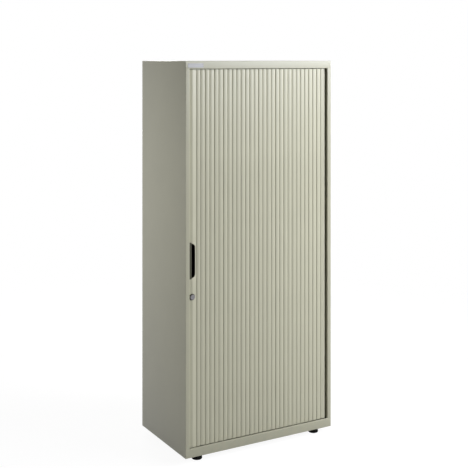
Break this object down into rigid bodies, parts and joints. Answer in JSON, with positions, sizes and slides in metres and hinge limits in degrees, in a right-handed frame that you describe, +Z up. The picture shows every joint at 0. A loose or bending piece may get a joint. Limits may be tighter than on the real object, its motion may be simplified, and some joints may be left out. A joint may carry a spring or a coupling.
{
  "type": "tambour door cabinet",
  "caption": "Tall steel storage cabinet with a ribbed curtain door that slides sideways, a recessed handle, a key lock, shelves on slotted uprights and levelling feet.",
  "frame": {"origin": "on the floor, under the middle of the cabinet", "axes": "+Z up, +X to the right as one faces the curtain, -Y out of the front"},
  "size_m": [0.8, 0.4708, 1.82],
  "materials": {
    "paint": "satin powder coat, warm light grey",
    "inner_paint": "satin powder coat, warm light grey",
    "slat_plastic": "satin, moulded, warm light grey",
    "track_plastic": "smooth, dark grey",
    "black_plastic": "fine texture, black",
    "foot_plastic": "moulded, black",
    "lock_metal": "satin",
    "zinc": "zinc plated",
    "badge_metal": "satin"
  },
  "bodies": {
    "carcass": {"left_side_panel": "paint", "right_side_panel": "paint", "top_panel": "paint", "base_panel": "paint", "back_panel": "paint", "right_liner": "paint", "back_liner": "paint", "pilaster_left_front": "inner_paint", "pilaster_left_rear": "inner_paint", "pilaster_right_front": "inner_paint", "pilaster_right_rear": "inner_paint", "shelf_1": "inner_paint", "shelf_1_bearer_left": "zinc", "shelf_1_bearer_right": "zinc", "shelf_2": "inner_paint", "shelf_2_bearer_left": "zinc", "shelf_2_bearer_right": "zinc", "shelf_3": "inner_paint", "shelf_3_bearer_left": "zinc", "shelf_3_bearer_right": "zinc", "shelf_4": "inner_paint", "shelf_4_bearer_left": "zinc", "shelf_4_bearer_right": "zinc", "slat_15": "slat_plastic", "tail_slat": "slat_plastic", "bottom_track": "track_plastic", "top_track": "track_plastic", "striker_plate": "zinc", "badge_plate": "badge_metal"},
    "door": {"leading_lath": "slat_plastic", "handle_pull": "black_plastic", "lock_collar": "black_plastic", "slat_01": "slat_plastic"},
    "lock_plug": {"lock_barrel": "lock_metal", "lock_cam": "zinc", "lock_nut": "zinc"},
    "slat_02_body": {"slat_02": "slat_plastic"},
    "slat_03_body": {"slat_03": "slat_plastic"},
    "slat_04_body": {"slat_04": "slat_plastic"},
    "slat_05_body": {"slat_05": "slat_plastic"},
    "slat_06_body": {"slat_06": "slat_plastic"},
    "slat_07_body": {"slat_07": "slat_plastic"},
    "slat_08_body": {"slat_08": "slat_plastic"},
    "slat_09_body": {"slat_09": "slat_plastic"},
    "slat_10_body": {"slat_10": "slat_plastic"},
    "slat_11_body": {"slat_11": "slat_plastic"},
    "slat_12_body": {"slat_12": "slat_plastic"},
    "slat_13_body": {"slat_13": "slat_plastic"},
    "slat_14_body": {"slat_14": "slat_plastic"},
    "foot_front_left": {"foot_pad_front_left": "foot_plastic", "foot_stem_front_left": "zinc"},
    "foot_front_right": {"foot_pad_front_right": "foot_plastic", "foot_stem_front_right": "zinc"},
    "foot_rear_left": {"foot_pad_rear_left": "foot_plastic", "foot_stem_rear_left": "zinc"},
    "foot_rear_right": {"foot_pad_rear_right": "foot_plastic", "foot_stem_rear_right": "zinc"}
  },
  "joints": [
    {"name": "door_slide", "type": "slide", "parent": "carcass", "child": "door", "axis": [1, 0, 0], "range_m": [0, 0.6636], "deforming": ["slat_01", "slat_02", "slat_03", "slat_04", "slat_05", "slat_06", "slat_07", "slat_08", "slat_09", "slat_10", "slat_11", "slat_12", "slat_13", "slat_14"]},
    {"name": "slat_02_slide", "type": "slide", "parent": "carcass", "child": "slat_02_body", "axis": [1, 0, 0], "range_m": [0, 0.6163]},
    {"name": "slat_03_slide", "type": "slide", "parent": "carcass", "child": "slat_03_body", "axis": [1, 0, 0], "range_m": [0, 0.5689]},
    {"name": "slat_04_slide", "type": "slide", "parent": "carcass", "child": "slat_04_body", "axis": [1, 0, 0], "range_m": [0, 0.5215]},
    {"name": "slat_05_slide", "type": "slide", "parent": "carcass", "child": "slat_05_body", "axis": [1, 0, 0], "range_m": [0, 0.4741]},
    {"name": "slat_06_slide", "type": "slide", "parent": "carcass", "child": "slat_06_body", "axis": [1, 0, 0], "range_m": [0, 0.4267]},
    {"name": "slat_07_slide", "type": "slide", "parent": "carcass", "child": "slat_07_body", "axis": [1, 0, 0], "range_m": [0, 0.3793]},
    {"name": "slat_08_slide", "type": "slide", "parent": "carcass", "child": "slat_08_body", "axis": [1, 0, 0], "range_m": [0, 0.3319]},
    {"name": "slat_09_slide", "type": "slide", "parent": "carcass", "child": "slat_09_body", "axis": [1, 0, 0], "range_m": [0, 0.2845]},
    {"name": "slat_10_slide", "type": "slide", "parent": "carcass", "child": "slat_10_body", "axis": [1, 0, 0], "range_m": [0, 0.2371]},
    {"name": "slat_11_slide", "type": "slide", "parent": "carcass", "child": "slat_11_body", "axis": [1, 0, 0], "range_m": [0, 0.1897]},
    {"name": "slat_12_slide", "type": "slide", "parent": "carcass", "child": "slat_12_body", "axis": [1, 0, 0], "range_m": [0, 0.1423]},
    {"name": "slat_13_slide", "type": "slide", "parent": "carcass", "child": "slat_13_body", "axis": [1, 0, 0], "range_m": [0, 0.0949]},
    {"name": "slat_14_slide", "type": "slide", "parent": "carcass", "child": "slat_14_body", "axis": [1, 0, 0], "range_m": [0, 0.0475]},
    {"name": "lock_turn", "type": "hinge", "parent": "door", "child": "lock_plug", "pos_m": [-0.3635, -0.21, 0.75], "axis": [0, 1, 0], "range_deg": [0, 90]},
    {"name": "foot_slide_front_left", "type": "slide", "parent": "carcass", "child": "foot_front_left", "axis": [0, 0, -1], "range_m": [0, 0.012]},
    {"name": "foot_slide_front_right", "type": "slide", "parent": "carcass", "child": "foot_front_right", "axis": [0, 0, -1], "range_m": [0, 0.012]},
    {"name": "foot_slide_rear_left", "type": "slide", "parent": "carcass", "child": "foot_rear_left", "axis": [0, 0, -1], "range_m": [0, 0.012]},
    {"name": "foot_slide_rear_right", "type": "slide", "parent": "carcass", "child": "foot_rear_right", "axis": [0, 0, -1], "range_m": [0, 0.012]}
  ],
  "couplings": [
    {"joint": "slat_02_slide", "follows": "door_slide", "ratio": 0.92857},
    {"joint": "slat_03_slide", "follows": "door_slide", "ratio": 0.85714},
    {"joint": "slat_04_slide", "follows": "door_slide", "ratio": 0.78571},
    {"joint": "slat_05_slide", "follows": "door_slide", "ratio": 0.71429},
    {"joint": "slat_06_slide", "follows": "door_slide", "ratio": 0.64286},
    {"joint": "slat_07_slide", "follows": "door_slide", "ratio": 0.57143},
    {"joint": "slat_08_slide", "follows": "door_slide", "ratio": 0.5},
    {"joint": "slat_09_slide", "follows": "door_slide", "ratio": 0.42857},
    {"joint": "slat_10_slide", "follows": "door_slide", "ratio": 0.35714},
    {"joint": "slat_11_slide", "follows": "door_slide", "ratio": 0.28571},
    {"joint": "slat_12_slide", "follows": "door_slide", "ratio": 0.21429},
    {"joint": "slat_13_slide", "follows": "door_slide", "ratio": 0.14286},
    {"joint": "slat_14_slide", "follows": "door_slide", "ratio": 0.071429}
  ]
}
